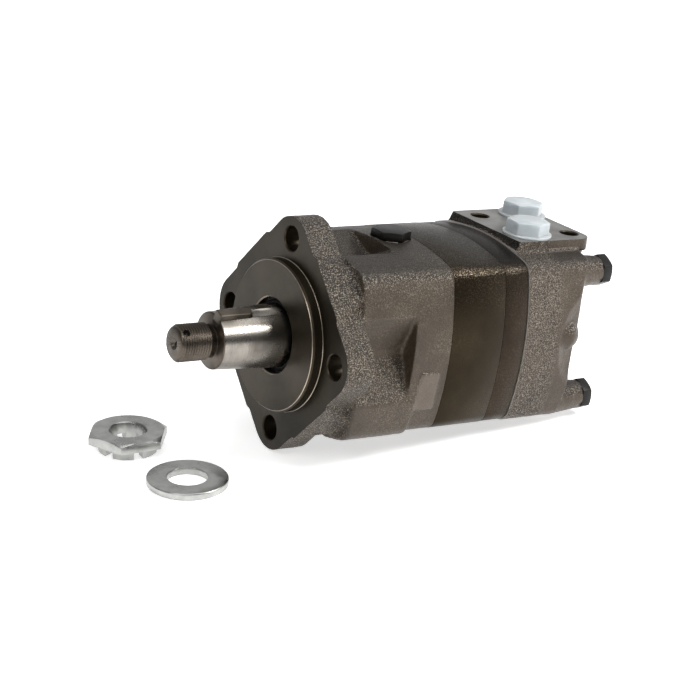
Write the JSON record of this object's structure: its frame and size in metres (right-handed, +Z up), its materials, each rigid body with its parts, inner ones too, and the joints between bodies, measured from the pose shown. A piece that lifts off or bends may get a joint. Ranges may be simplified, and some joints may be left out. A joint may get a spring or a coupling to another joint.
{
  "type": "orbital hydraulic motor",
  "caption": "Orbital gear hydraulic motor with square iron sections, diamond flange with spigot, keyed taper shaft, plugged oil ports, and its loose castle nut and washer.",
  "frame": {"origin": "centre of the flange's bolt circle, on the mounting face", "axes": "+X along the output shaft towards its free end, +Z up out of the oil ports, +Y towards the side seen in the picture"},
  "size_m": [0.2747, 0.1304, 0.1398],
  "materials": {
    "cast_iron_dark": "oiled as-cast iron, machined at the flange",
    "cast_iron_ring": "oiled iron, darker than the housing",
    "cast_iron_cover": "rough as-cast iron, machined on the port face",
    "ground_steel": "turned and ground",
    "hardened_steel": "ground and hardened",
    "blackened_steel": "blackened and oiled",
    "zinc_steel": "bright zinc plate",
    "spring_steel": "drawn wire",
    "seal_rubber": "oil-wet nitrile",
    "drain_ring_metal": "soft sealing ring",
    "plug_plastic": "bluish milky polyethylene"
  },
  "bodies": {
    "housing": {"front_housing": "cast_iron_dark", "dust_seal": "seal_rubber", "shaft_seal": "seal_rubber", "front_bearing_cup": "hardened_steel", "rear_bearing_cup": "hardened_steel", "cup_spacer": "hardened_steel", "cup_retainer": "hardened_steel", "wear_plate": "hardened_steel", "stator_ring": "cast_iron_ring", "channel_plate": "cast_iron_ring", "end_cover": "cast_iron_cover", "tie_bolts": "blackened_steel", "balance_plate": "ground_steel", "balance_springs": "spring_steel", "balance_pins": "hardened_steel", "housing_o_ring": "seal_rubber", "channel_o_ring": "seal_rubber", "cover_o_ring": "seal_rubber", "drain_plug": "blackened_steel", "drain_seal_ring": "drain_ring_metal"},
    "shaft": {"output_shaft": "ground_steel", "shaft_key": "hardened_steel", "front_bearing_cone": "hardened_steel", "rear_bearing_cone": "hardened_steel", "cone_spacer": "hardened_steel", "bearing_nut": "hardened_steel"},
    "front_roller_set": {"front_bearing_rollers": "hardened_steel", "front_bearing_cage": "hardened_steel"},
    "rear_roller_set": {"rear_bearing_rollers": "hardened_steel", "rear_bearing_cage": "hardened_steel"},
    "orbit_carrier": {"distance_disc": "hardened_steel"},
    "gear_rotor": {"rotor": "ground_steel"},
    "cardan": {"cardan_shaft": "hardened_steel"},
    "valve_link": {"valve_drive": "hardened_steel"},
    "valve_disc": {"disc_valve": "ground_steel"},
    "gear_roller_1": {"roller_1": "hardened_steel"},
    "gear_roller_2": {"roller_2": "hardened_steel"},
    "gear_roller_3": {"roller_3": "hardened_steel"},
    "gear_roller_4": {"roller_4": "hardened_steel"},
    "gear_roller_5": {"roller_5": "hardened_steel"},
    "gear_roller_6": {"roller_6": "hardened_steel"},
    "gear_roller_7": {"roller_7": "hardened_steel"},
    "near_plug": {"near_port_plug": "plug_plastic"},
    "far_plug": {"far_port_plug": "plug_plastic"},
    "nut": {"castle_nut": "zinc_steel"},
    "washer": {"flat_washer": "zinc_steel"}
  },
  "joints": [
    {"name": "shaft_spin", "type": "hinge", "parent": "housing", "child": "shaft", "pos_m": [0, 0, 0], "axis": [1, 0, 0], "continuous": true},
    {"name": "front_bearing_spin", "type": "hinge", "parent": "housing", "child": "front_roller_set", "pos_m": [-0.029, 0, 0], "axis": [1, 0, 0], "continuous": true},
    {"name": "rear_bearing_spin", "type": "hinge", "parent": "housing", "child": "rear_roller_set", "pos_m": [-0.052, 0, 0], "axis": [1, 0, 0], "continuous": true},
    {"name": "orbit", "type": "hinge", "parent": "housing", "child": "orbit_carrier", "pos_m": [-0.0928, 0, 0], "axis": [1, 0, 0], "continuous": true},
    {"name": "rotor_spin", "type": "hinge", "parent": "orbit_carrier", "child": "gear_rotor", "pos_m": [-0.0928, 0, -0.00255], "axis": [1, 0, 0], "continuous": true},
    {"name": "cardan_spin", "type": "hinge", "parent": "orbit_carrier", "child": "cardan", "pos_m": [-0.055, 0, 0], "axis": [0.9972, 0, 0.0744], "continuous": true},
    {"name": "valve_drive_spin", "type": "hinge", "parent": "orbit_carrier", "child": "valve_link", "pos_m": [-0.1329, 0, 0], "axis": [0.9968, 0, -0.0802], "continuous": true},
    {"name": "valve_spin", "type": "hinge", "parent": "housing", "child": "valve_disc", "pos_m": [-0.1334, 0, 0], "axis": [1, 0, 0], "continuous": true},
    {"name": "roller_1_spin", "type": "hinge", "parent": "housing", "child": "gear_roller_1", "pos_m": [-0.0928, 0, 0.034], "axis": [1, 0, 0], "continuous": true},
    {"name": "roller_2_spin", "type": "hinge", "parent": "housing", "child": "gear_roller_2", "pos_m": [-0.0928, -0.02658, 0.0212], "axis": [1, 0, 0], "continuous": true},
    {"name": "roller_3_spin", "type": "hinge", "parent": "housing", "child": "gear_roller_3", "pos_m": [-0.0928, -0.03315, -0.00757], "axis": [1, 0, 0], "continuous": true},
    {"name": "roller_4_spin", "type": "hinge", "parent": "housing", "child": "gear_roller_4", "pos_m": [-0.0928, -0.01475, -0.03063], "axis": [1, 0, 0], "continuous": true},
    {"name": "roller_5_spin", "type": "hinge", "parent": "housing", "child": "gear_roller_5", "pos_m": [-0.0928, 0.01475, -0.03063], "axis": [1, 0, 0], "continuous": true},
    {"name": "roller_6_spin", "type": "hinge", "parent": "housing", "child": "gear_roller_6", "pos_m": [-0.0928, 0.03315, -0.00757], "axis": [1, 0, 0], "continuous": true},
    {"name": "roller_7_spin", "type": "hinge", "parent": "housing", "child": "gear_roller_7", "pos_m": [-0.0928, 0.02658, 0.0212], "axis": [1, 0, 0], "continuous": true},
    {"name": "near_plug_out", "type": "slide", "parent": "housing", "child": "near_plug", "axis": [0, 0, 1], "range_m": [0, 0.025]},
    {"name": "far_plug_out", "type": "slide", "parent": "housing", "child": "far_plug", "axis": [0, 0, 1], "range_m": [0, 0.025]},
    {"name": "nut_lift", "type": "slide", "parent": "housing", "child": "nut", "axis": [0.0962, 0, 0.9954], "range_m": [0, 0.04]},
    {"name": "washer_lift", "type": "slide", "parent": "housing", "child": "washer", "axis": [0.0962, 0, 0.9954], "range_m": [0, 0.04]}
  ],
  "couplings": [
    {"joint": "orbit", "follows": "shaft_spin", "ratio": -6},
    {"joint": "rotor_spin", "follows": "shaft_spin", "ratio": 7},
    {"joint": "cardan_spin", "follows": "shaft_spin", "ratio": 7},
    {"joint": "valve_drive_spin", "follows": "shaft_spin", "ratio": 7},
    {"joint": "valve_spin", "follows": "shaft_spin", "ratio": 1},
    {"joint": "front_bearing_spin", "follows": "shaft_spin", "ratio": 0.4371},
    {"joint": "rear_bearing_spin", "follows": "shaft_spin", "ratio": 0.4371}
  ]
}
